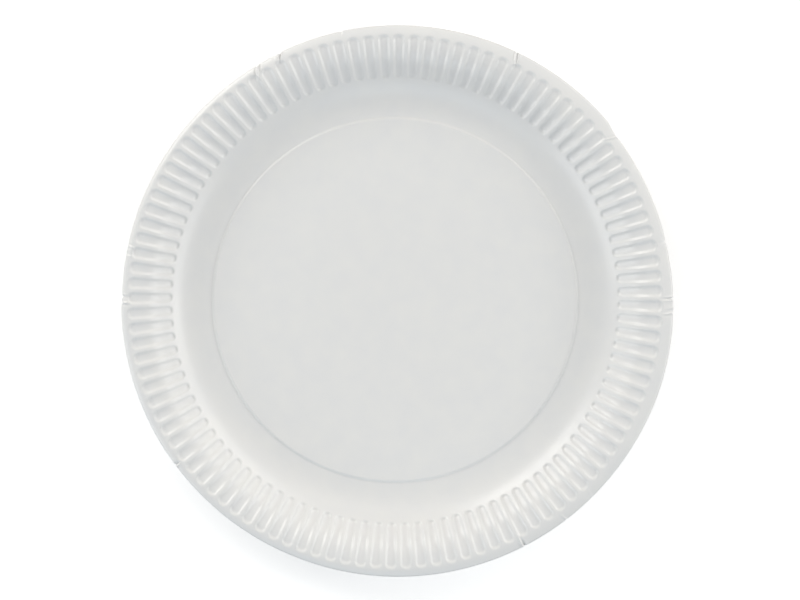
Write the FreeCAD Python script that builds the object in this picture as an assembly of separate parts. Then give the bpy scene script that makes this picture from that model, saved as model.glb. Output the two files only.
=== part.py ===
import FreeCAD, Part
import math
import os

# Round paper plate, pressed in one piece from white coated board.
# Millimetres and degrees, +Z up. Z = 0 is the plane that the plate stands on,
# and the origin is the centre of the round cut edge. The pressed form (well,
# wall, flutes and lip) turns about its own axis, which stands a little off
# that centre towards -X, so the smooth lip is wider on the +X side.
#
# Outside its foot ring the plate is made of flat facets, a fixed number to
# each flute, and the rings between them have a corner at each groove.

Vector = FreeCAD.Vector

# Blank
plate_diameter = 230.0
board = 0.4
press_offset = 1.26

# Section of the pressed form, from the cut edge inwards
lip_width = 4.5
lip_droop = 1.2
shoulder_radius = 18.0
wall_angle = 42.0
wall_run = 4.5
heel_radius = 23.5
foot_width = 1.2
step_width = 1.3
well_rise = 0.6

# Flutes: grooves pressed down between ridges that keep the smooth form
flute_count = 108
flute_turn = 2.454
ridge_width = 1.5
groove_depth = 0.8
groove_flank_run = 0.9
groove_end_run = 1.3
groove_tip_width = 2.0
groove_inner_margin = 1.0
groove_outer_overrun = 1.2

# Facets along the section
heel_facets = 3
shoulder_facets = 2
lip_facets = 2

# Derived sizes
plate_radius = plate_diameter / 2
wall_slope = math.radians(wall_angle)
crest_radius = plate_radius - lip_width
shoulder_start = crest_radius - shoulder_radius * math.sin(wall_slope)
wall_start = shoulder_start - wall_run
heel_start = wall_start - heel_radius * math.sin(wall_slope)
foot_start = heel_start - foot_width
well_radius = foot_start - step_width
wall_foot_height = board + heel_radius * (1 - math.cos(wall_slope))
wall_top_height = wall_foot_height + wall_run * math.tan(wall_slope)
crest_height = wall_top_height + shoulder_radius * (1 - math.cos(wall_slope))
groove_inner = wall_start - groove_inner_margin
groove_outer = crest_radius + groove_outer_overrun
flute_pitch = 2 * math.pi / flute_count
flute_starts = [math.radians(flute_turn) + k * flute_pitch for k in range(flute_count)]

# Corners nearer to each other than this are one corner
same_corner = 1e-6


def top_face(radius):
    """Height and slope of the board's top face at a radius, from the foot ring outwards."""
    if radius <= heel_start:
        return board, 0.0
    if radius <= wall_start:
        slope = math.asin((radius - heel_start) / heel_radius)
        return board + heel_radius * (1 - math.cos(slope)), slope
    if radius <= shoulder_start:
        return wall_foot_height + (radius - wall_start) * math.tan(wall_slope), wall_slope
    if radius <= crest_radius:
        slope = math.asin((crest_radius - radius) / shoulder_radius)
        return crest_height - shoulder_radius * (1 - math.cos(slope)), slope
    reach = (radius - crest_radius) / lip_width
    return crest_height - lip_droop * reach ** 2, -math.atan(2 * lip_droop * reach / lip_width)


def point(radius, angle, drop):
    """A point a drop deep in the board, square under its top face at a radius and an angle."""
    height, slope = top_face(radius)
    across = radius + drop * math.sin(slope)
    return Vector(across * math.cos(angle), across * math.sin(angle), height - drop * math.cos(slope))


def facet(*corners):
    """A flat face on its corners, where corners that fall together count once."""
    ends = corners[1:] + corners[:1]
    outline = [corner for corner, end in zip(corners, ends) if not corner.isEqual(end, same_corner)]
    return Part.Face(Part.makePolygon(outline + outline[:1]))


def strip(inner, outer):
    """Two triangles between a side of one ring and the side of the next."""
    return [facet(inner[0], outer[0], outer[1]), facet(inner[0], outer[1], inner[1])]


def cut_radius(angle):
    """How far the cut edge lies from the press axis, in a direction."""
    across = press_offset * math.sin(angle)
    return math.sqrt(plate_radius ** 2 - across ** 2) + press_offset * math.cos(angle)


def half_opening(radius, drop):
    """Half the angle that a groove's opening takes, on the face a drop deep in the board."""
    depth = groove_depth * math.cos(top_face(radius)[1])
    spread = drop * (math.hypot(groove_flank_run, depth) - groove_flank_run) / depth
    if radius in (groove_inner, groove_outer):
        return (groove_tip_width / 2 + spread) / radius
    return flute_pitch / 2 - (ridge_width / 2 - spread) / radius


def groove_tip(radius, start, drop):
    """The two corners of a groove's tip, and the first corner of the next groove's tip."""
    half = half_opening(radius, drop)
    return [point(radius, start + turn, drop) for turn in (-half, half, flute_pitch - half)]


def groove_radii():
    """The radii where a groove starts, bends and ends."""
    turns = [wall_slope * (1 - k / shoulder_facets) for k in range(1, shoulder_facets)]
    bends = [crest_radius - shoulder_radius * math.sin(turn) for turn in turns]
    floor = [groove_inner + groove_end_run, shoulder_start] + bends + [groove_outer - groove_end_run]
    return [groove_inner] + floor + [groove_outer]


def flute(start, drop):
    """A groove and the ridge after it, on the face a drop deep in the board."""
    across = Vector(-math.sin(start), math.cos(start), 0) * groove_flank_run
    rows = []
    for radius in groove_radii():
        left, right, ridge_end = groove_tip(radius, start, drop)
        sunk = 0 if radius in (groove_inner, groove_outer) else 1
        down = Vector(0, 0, groove_depth)
        foot_left = left + (across - down) * sunk
        foot_right = right - (across + down) * sunk
        rows.append([left, foot_left, foot_right, right, ridge_end])
    faces = []
    for row, after in zip(rows, rows[1:]):
        for k in range(len(row) - 1):
            faces.append(facet(row[k], row[k + 1], after[k + 1], after[k]))
    return faces


def heel(start, drop):
    """The facets of one pitch between the foot ring and the tips of the grooves."""
    steep = math.asin((groove_inner - heel_start) / heel_radius)
    turns = [steep * k / heel_facets for k in range(heel_facets)]
    radii = [heel_start + heel_radius * math.sin(turn) for turn in turns]
    rings = [[point(radius, start + turn, drop) for turn in (0, flute_pitch)] for radius in radii]
    faces = [facet(*inner, *outer[::-1]) for inner, outer in zip(rings, rings[1:])]
    left, right, ridge_end = groove_tip(groove_inner, start, drop)
    return faces + [facet(rings[-1][0], left, right), facet(rings[-1][0], right, ridge_end, rings[-1][1])]


def lip(start, drop):
    """The facets of one pitch between the tips of the grooves and the cut edge, and that edge."""
    rings = []
    for k in range(1, lip_facets + 1):
        angles = (start, start + flute_pitch)
        radii = [groove_outer + (cut_radius(angle) - groove_outer) * k / lip_facets for angle in angles]
        rings.append([point(radius, angle, drop) for radius, angle in zip(radii, angles)])
    left, right, ridge_end = groove_tip(groove_outer, start, drop)
    faces = [facet(left, right, rings[0][0])] + strip([right, ridge_end], rings[0])
    for inner, outer in zip(rings, rings[1:]):
        faces += strip(inner, outer)
    return faces, rings[-1]


def well(drop):
    """The well's floor, its step and the foot ring, on the face a drop deep in the board."""
    level = board + well_rise - drop
    floor_edge = Part.Wire(Part.makeCircle(well_radius, Vector(0, 0, level)))
    step = Part.makeLine(Vector(well_radius, 0, level), Vector(foot_start, 0, board - drop))
    foot_edge = Part.Wire(Part.makeCircle(foot_start, Vector(0, 0, board - drop)))
    corners = [point(heel_start, start, drop) for start in flute_starts]
    heel_edge = Part.makePolygon(corners + corners[:1])
    foot = Part.makeFace([heel_edge, foot_edge], "Part::FaceMakerBullseye")
    return [Part.Face(floor_edge), step.revolve(Vector(), Vector(0, 0, 1), 360), foot]


def plate():
    """The whole plate as one solid, standing with its cut edge centred on the origin."""
    faces = well(0) + well(board)
    for start in flute_starts:
        edges = []
        for drop in (0, board):
            lip_faces, edge = lip(start, drop)
            faces += heel(start, drop) + flute(start, drop) + lip_faces
            edges.append(edge)
        faces += strip(*edges)
    skin = Part.Compound(faces)
    skin.sewShape()
    solid = Part.Solid(skin.Shells[0])
    solid.translate(Vector(-press_offset, 0, 0))
    return solid


os.makedirs("parts", exist_ok=True)
plate().exportStep("parts/plate.step")
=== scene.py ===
import math
from collections import namedtuple

import bmesh
import bpy
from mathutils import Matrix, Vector


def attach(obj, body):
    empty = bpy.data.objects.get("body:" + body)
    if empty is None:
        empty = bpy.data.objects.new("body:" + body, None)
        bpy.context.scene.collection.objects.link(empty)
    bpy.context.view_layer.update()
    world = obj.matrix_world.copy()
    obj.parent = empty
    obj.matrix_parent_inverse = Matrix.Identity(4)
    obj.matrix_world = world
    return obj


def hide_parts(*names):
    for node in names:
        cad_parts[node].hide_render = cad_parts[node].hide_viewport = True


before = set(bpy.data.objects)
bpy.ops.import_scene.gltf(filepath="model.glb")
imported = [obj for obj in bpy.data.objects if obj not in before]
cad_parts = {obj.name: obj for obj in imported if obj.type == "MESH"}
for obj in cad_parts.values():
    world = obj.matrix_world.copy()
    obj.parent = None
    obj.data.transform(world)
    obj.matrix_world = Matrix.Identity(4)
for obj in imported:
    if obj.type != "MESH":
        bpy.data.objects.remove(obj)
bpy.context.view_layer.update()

# A plate pressed from one sheet of coated board. Its sizes are in millimetres,
# and its radii are measured from the press axis, which stands a little off the
# centre of the cut edge, towards -X.
MM = 0.001
BOARD = 0.4
PRESS_OFFSET = 1.26

# Section of the pressed form, from the cut edge inwards
PLATE_RADIUS = 115.0
LIP_WIDTH = 4.5
LIP_DROOP = 1.2
SHOULDER_RADIUS = 18.0
WALL_SLOPE = math.radians(42.0)
WALL_RUN = 4.5
HEEL_RADIUS = 23.5
FOOT_WIDTH = 1.2
STEP_WIDTH = 1.3
WELL_RISE = 0.6

CREST_RADIUS = PLATE_RADIUS - LIP_WIDTH
SHOULDER_START = CREST_RADIUS - SHOULDER_RADIUS * math.sin(WALL_SLOPE)
WALL_START = SHOULDER_START - WALL_RUN
HEEL_START = WALL_START - HEEL_RADIUS * math.sin(WALL_SLOPE)
FOOT_START = HEEL_START - FOOT_WIDTH
WELL_RADIUS = FOOT_START - STEP_WIDTH
WALL_FOOT = BOARD + HEEL_RADIUS * (1 - math.cos(WALL_SLOPE))
WALL_TOP = WALL_FOOT + WALL_RUN * math.tan(WALL_SLOPE)
CREST_HEIGHT = WALL_TOP + SHOULDER_RADIUS * (1 - math.cos(WALL_SLOPE))

# Flutes: grooves pressed down between ridges. A groove's side starts a little
# outside its opening and takes a width to reach the full depth.
FLUTES = 108
PITCH = 2 * math.pi / FLUTES
FLUTE_TURN = math.radians(2.454)
RIDGE_WIDTH = 1.5
GROOVE_DEPTH = 0.8
GROOVE_SIDE = 1.5
GROOVE_SPREAD = 0.3
GROOVE_INNER = WALL_START - 1.0
GROOVE_OUTER = CREST_RADIUS + 1.2

# Where the mesh's rings change their spacing. A plain disc closes the well.
DISC_RADIUS = WELL_RADIUS - 4.0
STEP_INNER = WELL_RADIUS - 0.3
STEP_OUTER = FOOT_START + 0.3
FLUTES_START = GROOVE_INNER - 0.7
INNER_TIPS_END = GROOVE_INNER + 2.1
OUTER_TIPS_START = GROOVE_OUTER - 3.2
LIP_START = GROOVE_OUTER + 0.4

# How far the cut edge swells out or falls in, in millimetres, at angles in degrees
EDGE_SWELL = (
    (0, -0.3), (14, -0.6), (30, -0.75), (38, -0.7), (41, 0.25), (46, 0.35), (98, 0.35), (112, 0.15),
    (118, -0.25), (135, -0.4), (150, -0.3), (162, -0.1), (178, 0.0), (182, 0.4), (200, 0.4),
    (228, 0.15), (250, 0.0), (325, 0.0), (340, 0.15), (352, 0.05), (360, -0.3),
)

# Creases of the lip: the angle where each meets the cut edge and how far it leans
# on its way in, in degrees, then its length, depth (less than nothing for a raised
# fold), width and the nick that it leaves in the edge, in millimetres.
Crease = namedtuple("Crease", "angle lean length depth width nick")
CREASES = (
    Crease(0.75, -0.05, 6.0, 1.0, 0.4, 0.7),
    Crease(358.8, -0.2, 5.0, -0.45, 0.42, -0.25),
    Crease(357.9, -0.8, 6.5, -0.4, 0.4, 0.35),
    Crease(12.8, 0.0, 5.0, 0.4, 0.45, 0.55),
    Crease(30.0, -0.4, 4.5, 0.25, 0.55, 0.15),
    Crease(36.9, 1.9, 8.0, -0.42, 0.4, 0.3),
    Crease(64.9, -1.3, 7.0, -0.42, 0.34, 0.3),
    Crease(64.1, -1.2, 6.5, -0.38, 0.34, 0.1),
    Crease(64.4, -2.2, 14.0, 0.2, 0.42, 0.0),
    Crease(101.8, 0.3, 2.5, 0.2, 0.5, 0.3),
    Crease(115.3, 1.2, 5.5, 0.95, 0.42, 0.7),
    Crease(116.5, 0.6, 7.0, -0.35, 0.45, 0.2),
    Crease(120.7, 2.6, 10.0, -0.65, 0.42, 0.6),
    Crease(120.1, 1.9, 9.0, 0.4, 0.4, 0.0),
    Crease(168.2, 0.2, 4.0, -0.35, 0.4, 0.15),
    Crease(169.8, 0.0, 3.5, 0.35, 0.45, 0.0),
    Crease(178.8, 0.1, 4.5, 0.5, 0.45, 0.6),
    Crease(180.1, 0.0, 5.0, -0.5, 0.45, 0.5),
    Crease(216.2, 0.0, 3.0, 0.8, 0.42, 0.4),
    Crease(297.5, -0.1, 4.5, 0.8, 0.4, 0.3),
    Crease(297.0, 0.1, 9.0, -0.35, 0.5, 0.0),
    Crease(307.8, -0.6, 4.5, -0.35, 0.42, 0.15),
    Crease(314.6, 0.8, 4.5, -0.35, 0.42, 0.2),
)

# The board rises beside a crease, by a share of its depth and so many widths away
BANK = 0.4
BANK_PLACE = 2.0
CREASE_REACH = 4.0

# Faces near a crease are cut once more: how near, in widths and in millimetres,
# and how far along it, as a share of its length
FINE_WIDTHS = 2.6
FINE_MARGIN = 0.3
FINE_LENGTH = 1.1

# Places of the columns in half a pitch, from the groove's middle to the ridge's
COLUMNS = (0.0, 0.16, 0.26, 0.325, 0.38, 0.43, 0.5)
PER_PITCH = 2 * (len(COLUMNS) - 1)

# Nearly all of a noise's values lie between these two
NOISE_LOW = 0.3
NOISE_HIGH = 0.7

# Studio: each lamp's direction in degrees, its size in metres, its power in watts and
# its colour. Every lamp stands at one distance from the plate, in metres.
Lamp = namedtuple("Lamp", "name azimuth elevation width height power colour")
LAMPS = (
    Lamp("left_key", 132, 25, 1.1, 0.7, 14.6, (1.0, 0.98, 0.945)),
    Lamp("right_key", 27, 24, 1.7, 0.7, 12.2, (1.0, 0.985, 0.955)),
    Lamp("left_fill", 208, 22, 1.0, 0.6, 6.4, (0.96, 0.98, 1.0)),
    Lamp("right_fill", 345, 25, 1.0, 0.6, 6.4, (0.99, 0.99, 0.99)),
    Lamp("front_fill", 262, 36, 1.2, 0.8, 5.0, (0.74, 0.88, 1.0)),
    Lamp("back_fill", 88, 52, 1.0, 0.6, 1.3, (1.0, 0.98, 0.95)),
)
LAMP_DISTANCE = 1.6
SKY_COLOUR = (1.0, 0.985, 0.965, 1)
SKY_STRENGTH = 0.24
FLOOR_SIZE = 8.0
FLOOR_GAP = 0.0001
FLOOR_GLOW = 0.4

# Camera: its distance in metres, and the height in millimetres that it aims at,
# near the rim, then the cut edge's circle in the photograph, in its pixels
CAMERA_DISTANCE = 2.5
CAMERA_LEAN = math.radians(3.6)
CAMERA_AIM_HEIGHT = 13.0
IMAGE_WIDTH_PX = 800
IMAGE_HEIGHT_PX = 600
PLATE_X_PX = 398.03
PLATE_Y_PX = 302.04
PLATE_RADIUS_PX = 275.86


def smooth_height(radius):
    """Height of the board's top face before the flutes, in millimetres."""
    if radius < WELL_RADIUS:
        return BOARD + WELL_RISE
    if radius < FOOT_START:
        share = (radius - WELL_RADIUS) / STEP_WIDTH
        return BOARD + WELL_RISE * (0.5 + 0.5 * math.cos(math.pi * share))
    if radius < HEEL_START:
        return BOARD
    if radius < WALL_START:
        return BOARD + HEEL_RADIUS - math.sqrt(HEEL_RADIUS ** 2 - (radius - HEEL_START) ** 2)
    if radius < SHOULDER_START:
        return WALL_FOOT + (radius - WALL_START) * math.tan(WALL_SLOPE)
    if radius < CREST_RADIUS:
        fall = SHOULDER_RADIUS - math.sqrt(SHOULDER_RADIUS ** 2 - (CREST_RADIUS - radius) ** 2)
        return CREST_HEIGHT - fall
    return CREST_HEIGHT - LIP_DROOP * ((radius - CREST_RADIUS) / LIP_WIDTH) ** 2


def groove(radius, turn):
    """Share of the groove's depth at a radius and an angle from its middle line."""
    across = abs(radius * turn)
    half = (radius * PITCH - RIDGE_WIDTH) / 2
    inner_half = (GROOVE_INNER * PITCH - RIDGE_WIDTH) / 2
    outer_half = (GROOVE_OUTER * PITCH - RIDGE_WIDTH) / 2
    inside = half - across
    inner_centre = GROOVE_INNER + inner_half
    outer_centre = GROOVE_OUTER - outer_half
    if radius < inner_centre:
        inside = inner_half - math.hypot(inner_centre - radius, across)
    if radius > outer_centre:
        inside = outer_half - math.hypot(radius - outer_centre, across)
    share = (inside + GROOVE_SPREAD) / GROOVE_SIDE
    return 0.5 - 0.5 * math.cos(math.pi * min(max(share, 0.0), 1.0))


def cut_radius(angle):
    """How far the cut edge lies from the press axis, in millimetres."""
    across = PRESS_OFFSET * math.sin(angle)
    return math.sqrt(PLATE_RADIUS ** 2 - across ** 2) + PRESS_OFFSET * math.cos(angle)


def from_edge(radius, angle):
    """A place's angle about the cut edge's centre, in degrees, and how far in from that edge."""
    x = radius * math.cos(angle) - PRESS_OFFSET
    y = radius * math.sin(angle)
    return math.degrees(math.atan2(y, x)) % 360, PLATE_RADIUS - math.hypot(x, y)


def swell(bearing):
    """How far the cut edge stands out at an angle in degrees, in millimetres."""
    for (start, first), (end, last) in zip(EDGE_SWELL, EDGE_SWELL[1:]):
        if start <= bearing <= end:
            share = (bearing - start) / (end - start)
            return first + (last - first) * (0.5 - 0.5 * math.cos(math.pi * share))
    return 0.0


def off_line(crease, bearing, inward):
    """How far a place lies beside a crease's line, and how far along it, as a share of its length."""
    along = max(inward, 0.0) / crease.length
    turn = (bearing - crease.angle - crease.lean * along + 180) % 360 - 180
    return math.radians(turn) * PLATE_RADIUS, along


def creased(bearing, inward):
    """The drop and the nick that the creases make at a place, in millimetres."""
    drop = nick = 0.0
    for crease in CREASES:
        across, along = off_line(crease, bearing, inward)
        beside = abs(across) / crease.width
        if beside > CREASE_REACH or along > 1:
            continue
        fade = 0.5 + 0.5 * math.cos(math.pi * along)
        fold = math.exp(-beside ** 2)
        bank = BANK * math.exp(-(beside - BANK_PLACE) ** 2)
        drop += crease.depth * fade * (fold - bank)
        nick += crease.nick * fold
    return drop, nick


def steps(start, end, rows):
    """Radii from just after a start to an end, evenly spaced."""
    return [start + (end - start) * k / rows for k in range(1, rows + 1)]


def spun(bm, radii, columns):
    """Rings at some radii: one pitch is spun with a number of columns, then copied round."""
    chain = [bm.verts.new((radius, 0, 0)) for radius in radii]
    row = chain + [bm.edges.new(pair) for pair in zip(chain, chain[1:])]
    first = set(bm.faces)
    axis = {"cent": (0, 0, 0), "axis": (0, 0, 1), "dvec": (0, 0, 0)}
    bmesh.ops.spin(bm, geom=row, angle=PITCH, steps=columns, use_duplicate=False, **axis)
    faces = [face for face in bm.faces if face not in first]
    edges = {edge for face in faces for edge in face.edges}
    verts = {vert for face in faces for vert in face.verts}
    bmesh.ops.spin(
        bm, geom=faces + list(edges) + list(verts), angle=2 * math.pi - PITCH,
        steps=FLUTES - 1, use_duplicate=True, **axis,
    )
    same_place = 0.05
    bmesh.ops.remove_doubles(bm, verts=bm.verts, dist=same_place)


def ring_edges(bm, radius):
    """The edges that lie along one ring."""
    near = 1e-3
    return [e for e in bm.edges if all(abs(v.co.xy.length - radius) < near for v in e.verts)]


def column_turn(vert):
    """A vertex's angle about the press axis, and its angle from the nearest groove's middle."""
    on_column = 0.02
    column = math.atan2(vert.co.y, vert.co.x) / PITCH * PER_PITCH
    if abs(column - round(column)) < on_column:
        column = round(column)
    pitch = math.floor(column / PER_PITCH + 0.5)
    place = column - pitch * PER_PITCH
    low = min(int(abs(place)), len(COLUMNS) - 2)
    share = COLUMNS[low] + (abs(place) - low) * (COLUMNS[low + 1] - COLUMNS[low])
    turn = math.copysign(share, place) * PITCH
    return FLUTE_TURN + pitch * PITCH + turn, turn


def near_crease(edge):
    """Whether both ends of an edge lie close to one crease."""
    places = [from_edge(vert.co.xy.length, column_turn(vert)[0]) for vert in edge.verts]
    for crease in CREASES:
        beside = FINE_WIDTHS * crease.width + FINE_MARGIN
        spots = [off_line(crease, bearing, inward) for bearing, inward in places]
        if all(abs(across) < beside and along < FINE_LENGTH for across, along in spots):
            return True
    return False


def flat_rings():
    """The flat board: coarse rings for the well, and fine ones for the flutes and the lip."""
    well = [DISC_RADIUS, STEP_INNER] + steps(STEP_INNER, STEP_OUTER, rows=6)
    well += [HEEL_START] + steps(HEEL_START, FLUTES_START, rows=8)
    rim = [FLUTES_START] + steps(FLUTES_START, INNER_TIPS_END, rows=7)
    rim += steps(INNER_TIPS_END, OUTER_TIPS_START, rows=7)
    rim += steps(OUTER_TIPS_START, LIP_START, rows=9)
    rim += steps(LIP_START, PLATE_RADIUS, rows=5)
    bm = bmesh.new()
    spun(bm, well, 2)
    bmesh.ops.holes_fill(bm, edges=ring_edges(bm, DISC_RADIUS), sides=0)
    bmesh.ops.subdivide_edges(bm, edges=ring_edges(bm, FLUTES_START), cuts=PER_PITCH // 2 - 1)
    spun(bm, rim, PER_PITCH)
    outer = [edge for edge in bm.edges if min(v.co.xy.length for v in edge.verts) > SHOULDER_START]
    fine = [edge for edge in outer if near_crease(edge)]
    bmesh.ops.subdivide_edges(bm, edges=fine, cuts=1, use_grid_fill=True)
    return bm


def pressed_place(vert):
    """Where a vertex of the flat rings lies once the board is pressed, creased and nicked."""
    radius = vert.co.xy.length
    angle, turn = column_turn(vert)
    height = smooth_height(radius) - GROOVE_DEPTH * groove(radius, turn)
    if radius > SHOULDER_START:
        bearing, inward = from_edge(radius, angle)
        drop, nick = creased(bearing, inward)
        height -= drop
        out = max(radius - LIP_START, 0.0) / (PLATE_RADIUS - LIP_START)
        edge = cut_radius(angle) + swell(bearing)
        radius += (edge - PLATE_RADIUS) * out - nick * out ** 3
    return Vector((radius * math.cos(angle), radius * math.sin(angle), height))


def plate_mesh():
    """The board's top face, in metres, standing with its cut edge centred on the origin."""
    bm = flat_rings()
    for vert in bm.verts:
        vert.co = pressed_place(vert)
    bmesh.ops.scale(bm, vec=(MM, MM, MM), verts=bm.verts)
    bmesh.ops.translate(bm, vec=(-PRESS_OFFSET * MM, 0, 0), verts=bm.verts)
    bmesh.ops.recalc_face_normals(bm, faces=bm.faces)
    if sum(face.normal.z for face in bm.faces) < 0:
        bmesh.ops.reverse_faces(bm, faces=bm.faces)
    return bm


class Surface:
    """A board material: a shader, and noises in real sizes on the object's own coordinates."""

    def __init__(self, name, colour, roughness):
        self.material = bpy.data.materials.new(name)
        self.material.use_nodes = True
        self.nodes = self.material.node_tree.nodes
        self.links = self.material.node_tree.links
        self.shader = self.nodes["Principled BSDF"]
        self.shader.inputs["Base Color"].default_value = (*colour, 1)
        self.shader.inputs["Roughness"].default_value = roughness
        self.place = self.nodes.new("ShaderNodeTexCoord").outputs["Object"]

    def noise(self, size_mm, detail=2.0, stretch=(1, 1, 1)):
        """A noise with grains of a size in millimetres, drawn finer along a stretched axis."""
        spread = self.nodes.new("ShaderNodeMapping")
        spread.inputs["Scale"].default_value = stretch
        grain = self.nodes.new("ShaderNodeTexNoise")
        grain.inputs["Scale"].default_value = 1 / (size_mm * MM)
        grain.inputs["Detail"].default_value = detail
        self.links.new(self.place, spread.inputs["Vector"])
        self.links.new(spread.outputs["Vector"], grain.inputs["Vector"])
        return grain.outputs["Fac"]

    def ranged(self, value, low, high):
        """A noise spread between two values."""
        span = self.nodes.new("ShaderNodeMapRange")
        span.inputs["From Min"].default_value = NOISE_LOW
        span.inputs["From Max"].default_value = NOISE_HIGH
        span.inputs["To Min"].default_value = low
        span.inputs["To Max"].default_value = high
        self.links.new(value, span.inputs["Value"])
        return span.outputs["Result"]

    def mottle(self, value, dark, light):
        """Colour the board between two tones by a noise."""
        tones = self.nodes.new("ShaderNodeMix")
        tones.data_type = "RGBA"
        tones.inputs["A"].default_value = (*dark, 1)
        tones.inputs["B"].default_value = (*light, 1)
        self.links.new(self.ranged(value, 0, 1), tones.inputs["Factor"])
        self.links.new(tones.outputs["Result"], self.shader.inputs["Base Color"])

    def gloss(self, value, low, high):
        """Vary the roughness between two values by a noise."""
        self.links.new(self.ranged(value, low, high), self.shader.inputs["Roughness"])

    def relief(self, *layers):
        """Bump the surface by noises, each with its depth in millimetres."""
        normal = None
        for value, depth_mm in layers:
            bump = self.nodes.new("ShaderNodeBump")
            bump.inputs["Distance"].default_value = depth_mm * MM
            self.links.new(value, bump.inputs["Height"])
            if normal:
                self.links.new(normal, bump.inputs["Normal"])
            normal = bump.outputs["Normal"]
        self.links.new(normal, self.shader.inputs["Normal"])


def coated_face():
    """The white coated side: smooth, with a soft gloss and a trace of the board's fibres."""
    face = Surface("coated_face", (0.81, 0.81, 0.8), 0.31)
    face.mottle(face.noise(9, 3), (0.8, 0.803, 0.8), (0.822, 0.822, 0.808))
    face.gloss(face.noise(6, 2), 0.28, 0.34)
    face.relief((face.noise(4.0, 1), 0.012), (face.noise(0.8, 2, (1, 2.2, 1)), 0.003))
    return face.material


def board_back():
    """The uncoated back: matt, a little warmer, with flecks and a fibrous grain."""
    back = Surface("board_back", (0.74, 0.73, 0.7), 0.8)
    back.mottle(back.noise(1.6, 5, (1, 2.5, 1)), (0.7, 0.69, 0.655), (0.78, 0.772, 0.745))
    back.gloss(back.noise(3, 3), 0.74, 0.88)
    back.relief((back.noise(5, 2), 0.03), (back.noise(0.4, 4, (1, 2.6, 1)), 0.02))
    return back.material


def cut_edge():
    """The raw cut edge: layered pulp, rough and slightly greyer."""
    edge = Surface("cut_edge", (0.72, 0.715, 0.7), 0.9)
    edge.mottle(edge.noise(0.5, 4, (1, 1, 6)), (0.64, 0.635, 0.615), (0.8, 0.795, 0.78))
    edge.gloss(edge.noise(0.8, 2), 0.84, 0.95)
    edge.relief((edge.noise(0.12, 3, (1, 1, 4)), 0.03))
    return edge.material


def plate():
    """The plate as one piece: its coated face, its back and its cut edge."""
    bm = plate_mesh()
    mesh = bpy.data.meshes.new("paper_plate")
    bm.to_mesh(mesh)
    bm.free()
    for polygon in mesh.polygons:
        polygon.use_smooth = True
    piece = bpy.data.objects.new("paper_plate", mesh)
    bpy.context.collection.objects.link(piece)
    for make in (coated_face, board_back, cut_edge):
        mesh.materials.append(make())
    sheet = piece.modifiers.new("board", "SOLIDIFY")
    sheet.thickness = BOARD * MM
    sheet.offset = -1
    sheet.use_even_offset = True
    sheet.use_rim = True
    sheet.material_offset = 1
    sheet.material_offset_rim = 2
    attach(piece, "root")
    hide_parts("plate")


def floor():
    """A plain white floor under the plate, which keeps the plate's shadow."""
    bpy.ops.mesh.primitive_plane_add(size=FLOOR_SIZE, location=(0, 0, -FLOOR_GAP))
    ground = bpy.context.object
    ground.name = "floor"
    material = bpy.data.materials.new("white_floor")
    material.use_nodes = True
    nodes, links = material.node_tree.nodes, material.node_tree.links
    shader = nodes["Principled BSDF"]
    shader.inputs["Base Color"].default_value = (0.9, 0.9, 0.9, 1)
    shader.inputs["Roughness"].default_value = 0.9
    # The glow is added only where the camera sees the floor, so it lights nothing
    glow = nodes.new("ShaderNodeEmission")
    glow.inputs["Strength"].default_value = FLOOR_GLOW
    seen = nodes.new("ShaderNodeLightPath")
    lit = nodes.new("ShaderNodeAddShader")
    shown = nodes.new("ShaderNodeMixShader")
    links.new(shader.outputs[0], lit.inputs[0])
    links.new(glow.outputs[0], lit.inputs[1])
    links.new(seen.outputs["Is Camera Ray"], shown.inputs[0])
    links.new(shader.outputs[0], shown.inputs[1])
    links.new(lit.outputs[0], shown.inputs[2])
    links.new(shown.outputs[0], nodes["Material Output"].inputs["Surface"])
    ground.data.materials.append(material)


def softbox(lamp):
    """A flat rectangular lamp that faces the plate."""
    panel = bpy.data.lights.new(lamp.name, "AREA")
    panel.shape = "RECTANGLE"
    panel.size = lamp.width
    panel.size_y = lamp.height
    panel.energy = lamp.power
    panel.color = lamp.colour
    holder = bpy.data.objects.new(lamp.name, panel)
    turn, rise = math.radians(lamp.azimuth), math.radians(lamp.elevation)
    level = LAMP_DISTANCE * math.cos(rise)
    holder.location = (level * math.cos(turn), level * math.sin(turn), LAMP_DISTANCE * math.sin(rise))
    holder.rotation_euler = (-holder.location).to_track_quat("-Z", "Y").to_euler()
    bpy.context.collection.objects.link(holder)


def lights():
    """Two low softboxes beyond the plate's top corners, weak fills all round and a dim sky."""
    for lamp in LAMPS:
        softbox(lamp)
    world = bpy.data.worlds.new("sky")
    world.use_nodes = True
    background = world.node_tree.nodes["Background"]
    background.inputs["Color"].default_value = SKY_COLOUR
    background.inputs["Strength"].default_value = SKY_STRENGTH
    bpy.context.scene.world = world


def camera():
    """A long lens almost straight above, leaning a little towards the plate's top edge."""
    scale = PLATE_RADIUS * MM / PLATE_RADIUS_PX
    right = (IMAGE_WIDTH_PX / 2 - PLATE_X_PX) * scale
    up = (PLATE_Y_PX - IMAGE_HEIGHT_PX / 2) * scale
    aim = Vector((right, up, CAMERA_AIM_HEIGHT * MM))
    data = bpy.data.cameras.new("camera")
    data.lens = data.sensor_width * CAMERA_DISTANCE / (IMAGE_WIDTH_PX * scale)
    eye = bpy.data.objects.new("camera", data)
    eye.location = aim + CAMERA_DISTANCE * Vector((0, math.sin(CAMERA_LEAN), math.cos(CAMERA_LEAN)))
    eye.rotation_euler = (-CAMERA_LEAN, 0, 0)
    bpy.context.collection.objects.link(eye)
    bpy.context.scene.camera = eye


plate()
floor()
lights()
camera()
bpy.context.scene.view_settings.view_transform = "Standard"
